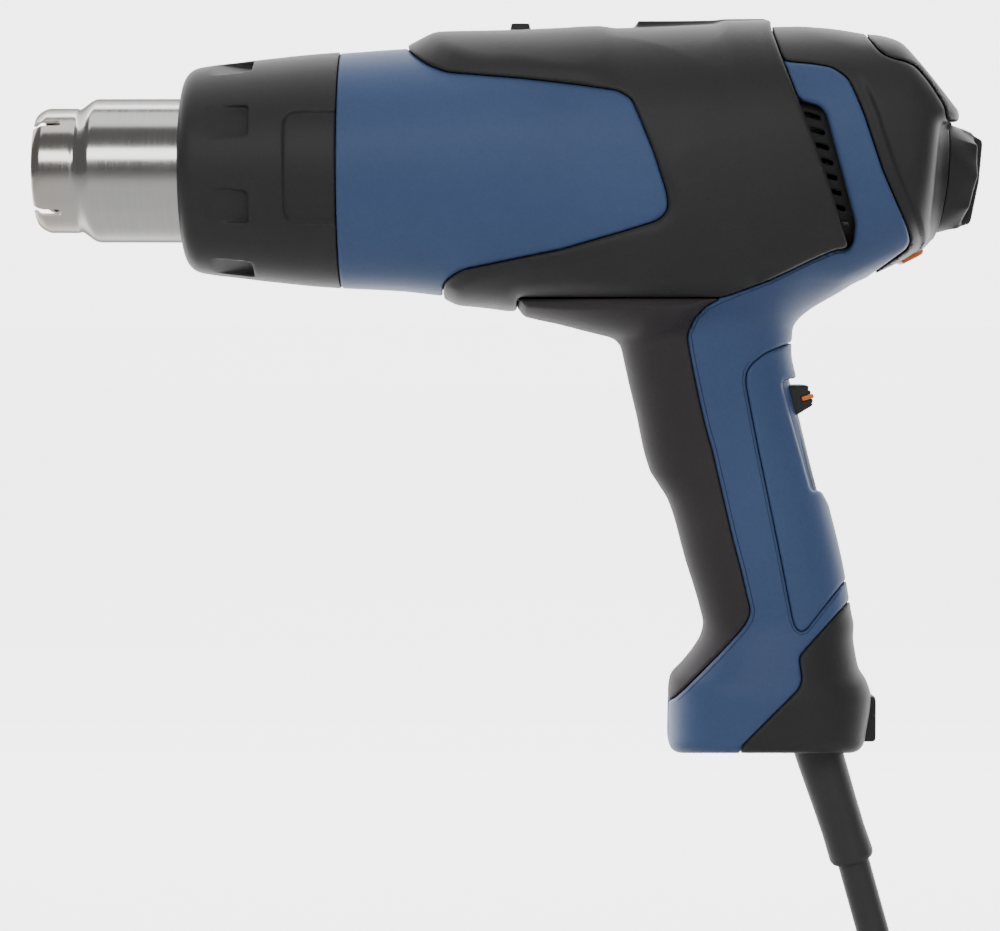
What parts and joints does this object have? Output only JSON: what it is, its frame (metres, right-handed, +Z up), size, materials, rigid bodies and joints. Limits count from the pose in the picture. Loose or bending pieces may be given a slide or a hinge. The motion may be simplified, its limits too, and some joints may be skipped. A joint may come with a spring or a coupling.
{
  "type": "heat gun",
  "caption": "Corded pistol-grip hot-air gun with a steel outlet tube, heat-shield sleeve, moulded housing with raised cover, rear dial, sliding switch and strain-relieved cord.",
  "frame": {"origin": "centre of the hand grip, at the middle of the handle section", "axes": "+X from the outlet toward the rear dial, +Y toward the right side of the tool, +Z up, with the barrel axis 90 mm above the origin"},
  "size_m": [0.2959, 0.0824, 0.452],
  "materials": {
    "blue_plastic": "satin",
    "black_plastic": "satin",
    "grip_rubber": "matte",
    "steel": "polished",
    "orange_plastic": "gloss",
    "grey_plastic": "gloss",
    "ceramic": "matte",
    "mica": "matte",
    "circuit_green": "satin",
    "brass": "satin",
    "aluminium": "satin",
    "cord_rubber": "matte"
  },
  "bodies": {
    "body": {"cable_base": "black_plastic", "capacitor": "grey_plastic", "circuit_board": "circuit_green", "cord_clamp": "grey_plastic", "cord_coil": "cord_rubber", "cord_tail": "cord_rubber", "cord_tie": "cord_rubber", "cord_tube": "cord_rubber", "cover_left": "black_plastic", "cover_right": "black_plastic", "dial_potentiometer": "grey_plastic", "fan_duct": "black_plastic", "fan_inlet_ring": "black_plastic", "front_grip": "grip_rubber", "handle_back_cover": "blue_plastic", "heater_core": "ceramic", "heater_flange": "ceramic", "heating_coil": "steel", "housing_left": "blue_plastic", "housing_right": "blue_plastic", "housing_screw_1": "steel", "housing_screw_2": "steel", "housing_screw_3": "steel", "housing_screw_4": "steel", "housing_screw_5": "steel", "indicator_lens": "orange_plastic", "intake_grille_left": "black_plastic", "intake_grille_right": "black_plastic", "lead_wire_1": "grip_rubber", "lead_wire_2": "grip_rubber", "mains_plug": "cord_rubber", "mains_wire_1": "grip_rubber", "mains_wire_2": "grip_rubber", "mica_tube": "mica", "motor_can": "aluminium", "motor_end_cap": "black_plastic", "motor_mount": "black_plastic", "outlet_tube": "steel", "plug_pin_1": "brass", "plug_pin_2": "brass", "rear_cap": "black_plastic", "rear_cover": "black_plastic", "relay": "blue_plastic", "strain_relief_sleeve": "cord_rubber", "switch_body": "black_plastic", "switch_track": "grey_plastic", "temperature_sensor": "brass", "terminal_block": "grey_plastic", "triac_heat_sink": "aluminium"},
    "dial": {"temperature_dial": "black_plastic", "dial_spindle": "aluminium"},
    "switch": {"switch_slider": "black_plastic", "switch_pointer": "orange_plastic"},
    "fan": {"fan_impeller": "black_plastic", "motor_shaft": "steel"},
    "sleeve": {"protective_sleeve": "black_plastic"},
    "latch": {"cable_latch": "black_plastic"}
  },
  "joints": [
    {"name": "dial_turn", "type": "hinge", "parent": "body", "child": "dial", "pos_m": [0.0546, 0, 0.0881], "axis": [0.9962, 0, -0.0872], "range_deg": [-135, 135]},
    {"name": "switch_slide", "type": "slide", "parent": "body", "child": "switch", "axis": [0.2739, 0, -0.9617], "range_m": [0, 0.012]},
    {"name": "fan_spin", "type": "hinge", "parent": "body", "child": "fan", "pos_m": [0, 0, 0.09], "axis": [1, 0, 0], "continuous": true},
    {"name": "sleeve_release", "type": "slide", "parent": "body", "child": "sleeve", "axis": [-1, 0, 0], "range_m": [0, 0.05]},
    {"name": "latch_press", "type": "slide", "parent": "body", "child": "latch", "axis": [-1, 0, 0], "range_m": [0, 0.0015], "stiffness_N_per_m": 700, "springref_m": -0.0005}
  ]
}
